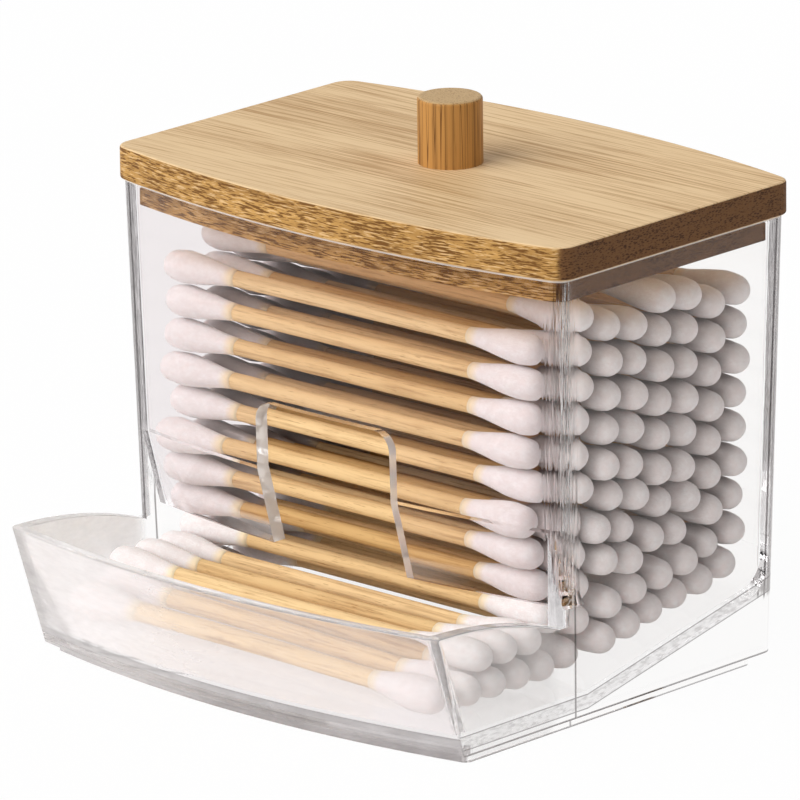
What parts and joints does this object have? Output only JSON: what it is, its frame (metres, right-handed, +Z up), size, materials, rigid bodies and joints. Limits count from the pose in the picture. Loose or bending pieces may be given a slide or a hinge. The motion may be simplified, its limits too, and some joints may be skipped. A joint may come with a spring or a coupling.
{
  "type": "cotton swab storage box",
  "caption": "Clear bow-fronted box with a finger notch, a ramp that feeds cotton swabs into an open front tray, and a bamboo lid with a round knob.",
  "frame": {"origin": "on the table, under the middle of the overall box", "axes": "+X along the swabs and the long side of the lid, -Y towards the open tray, +Z up"},
  "size_m": [0.0888, 0.0842, 0.083],
  "materials": {
    "clear_plastic": "clear moulded, polished",
    "bamboo_board": "satin, laminated bamboo",
    "turned_wood": "satin, turned",
    "stick_wood": "plain, unvarnished",
    "cotton": "wound cotton, matt"
  },
  "bodies": {
    "box": {"box_shell": "clear_plastic", "swab_heads_left_row_01": "cotton", "swab_heads_left_row_02": "cotton", "swab_heads_left_row_03": "cotton", "swab_heads_left_row_04": "cotton", "swab_heads_left_row_05": "cotton", "swab_heads_left_row_06": "cotton", "swab_heads_left_row_07": "cotton", "swab_heads_left_row_08": "cotton", "swab_heads_left_row_09": "cotton", "swab_heads_left_row_10": "cotton", "swab_heads_left_row_11": "cotton", "swab_heads_right_row_01": "cotton", "swab_heads_right_row_02": "cotton", "swab_heads_right_row_03": "cotton", "swab_heads_right_row_04": "cotton", "swab_heads_right_row_05": "cotton", "swab_heads_right_row_06": "cotton", "swab_heads_right_row_07": "cotton", "swab_heads_right_row_08": "cotton", "swab_heads_right_row_09": "cotton", "swab_heads_right_row_10": "cotton", "swab_heads_right_row_11": "cotton", "swab_sticks_row_01": "stick_wood", "swab_sticks_row_02": "stick_wood", "swab_sticks_row_03": "stick_wood", "swab_sticks_row_04": "stick_wood", "swab_sticks_row_05": "stick_wood", "swab_sticks_row_06": "stick_wood", "swab_sticks_row_07": "stick_wood", "swab_sticks_row_08": "stick_wood", "swab_sticks_row_09": "stick_wood", "swab_sticks_row_10": "stick_wood", "swab_sticks_row_11": "stick_wood"},
    "lid": {"lid_board": "bamboo_board", "lid_knob": "turned_wood"}
  },
  "joints": [
    {"name": "lid_lift", "type": "slide", "parent": "box", "child": "lid", "axis": [0, 0, 1], "range_m": [0, 0.05]}
  ]
}
